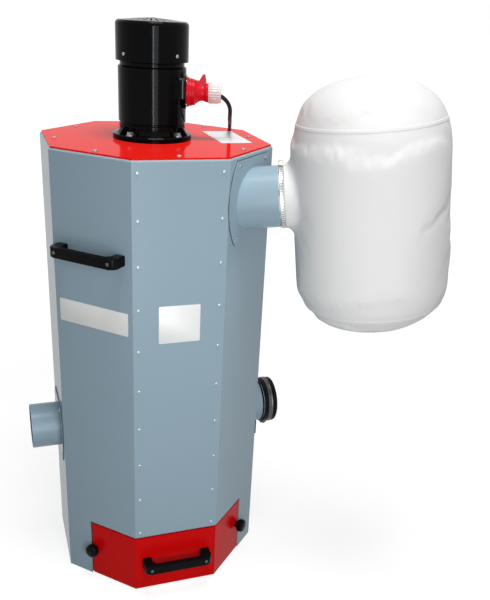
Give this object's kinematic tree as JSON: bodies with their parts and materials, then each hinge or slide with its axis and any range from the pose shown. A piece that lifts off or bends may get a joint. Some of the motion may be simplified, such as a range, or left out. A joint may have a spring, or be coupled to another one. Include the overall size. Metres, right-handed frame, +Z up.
{
  "type": "metal dust extractor",
  "caption": "Free-standing octagonal sheet-steel extractor for metal dust with a wrap-round drawer, duct inlets, an outlet filter bag and a flange motor on its lid.",
  "frame": {"origin": "centre of the octagonal cabinet's base, on the floor", "axes": "+Z up, -Y out of the front cover, +X to the right seen from the front"},
  "size_m": [1.0587, 1.0409, 1.51],
  "materials": {
    "body_paint": "gloss",
    "lid_paint": "gloss",
    "drawer_paint": "gloss",
    "motor_paint": "gloss",
    "handle_plastic": "satin",
    "clamp_steel": "satin",
    "bag_cloth": "woven",
    "cap_rubber": "matt",
    "plug_plastic": "satin",
    "gland_plastic": "satin",
    "lead_rubber": "matt"
  },
  "bodies": {
    "cabinet": {"base_plate": "body_paint", "front_cover": "body_paint", "left_front_wall": "body_paint", "right_front_wall": "body_paint", "left_wall": "body_paint", "right_wall": "body_paint", "back_left_wall": "body_paint", "back_right_wall": "body_paint", "back_wall": "body_paint", "cover_rails": "body_paint", "drawer_header": "body_paint", "left_jamb": "body_paint", "right_jamb": "body_paint", "lid": "lid_paint", "front_carry_handle": "handle_plastic", "back_carry_handle": "handle_plastic", "outlet_flange": "body_paint", "outlet_pipe": "body_paint", "bag_clamp": "clamp_steel", "filter_bag": "bag_cloth", "left_inlet_flange": "body_paint", "left_inlet_pipe": "body_paint", "right_inlet_flange": "body_paint", "right_inlet_pipe": "body_paint", "inlet_cap": "cap_rubber", "cap_buckle": "handle_plastic", "cap_tie": "handle_plastic", "motor_shield": "motor_paint", "motor_frame": "motor_paint", "motor_end_shield": "motor_paint", "cooling_fan": "handle_plastic", "fan_cowl": "motor_paint", "terminal_box": "motor_paint", "terminal_lid": "motor_paint", "appliance_inlet": "plug_plastic", "supply_coupling": "plug_plastic", "cable_gland": "gland_plastic", "supply_lead": "lead_rubber", "lead_coil": "lead_rubber", "lead_plug": "plug_plastic"},
    "drawer": {"drawer_front": "drawer_paint", "dust_tray": "body_paint", "drawer_handle": "handle_plastic"},
    "knob_left": {"left_knob": "handle_plastic"},
    "knob_right": {"right_knob": "handle_plastic"}
  },
  "joints": [
    {"name": "drawer_slide", "type": "slide", "parent": "cabinet", "child": "drawer", "axis": [0, -1, 0], "range_m": [0, 0.32]},
    {"name": "left_knob_turn", "type": "hinge", "parent": "drawer", "child": "knob_left", "pos_m": [-0.22062, -0.1895, 0.096], "axis": [-0.7071, -0.7071, 0], "continuous": true},
    {"name": "right_knob_turn", "type": "hinge", "parent": "drawer", "child": "knob_right", "pos_m": [0.22062, -0.1895, 0.096], "axis": [0.7071, -0.7071, 0], "continuous": true}
  ]
}
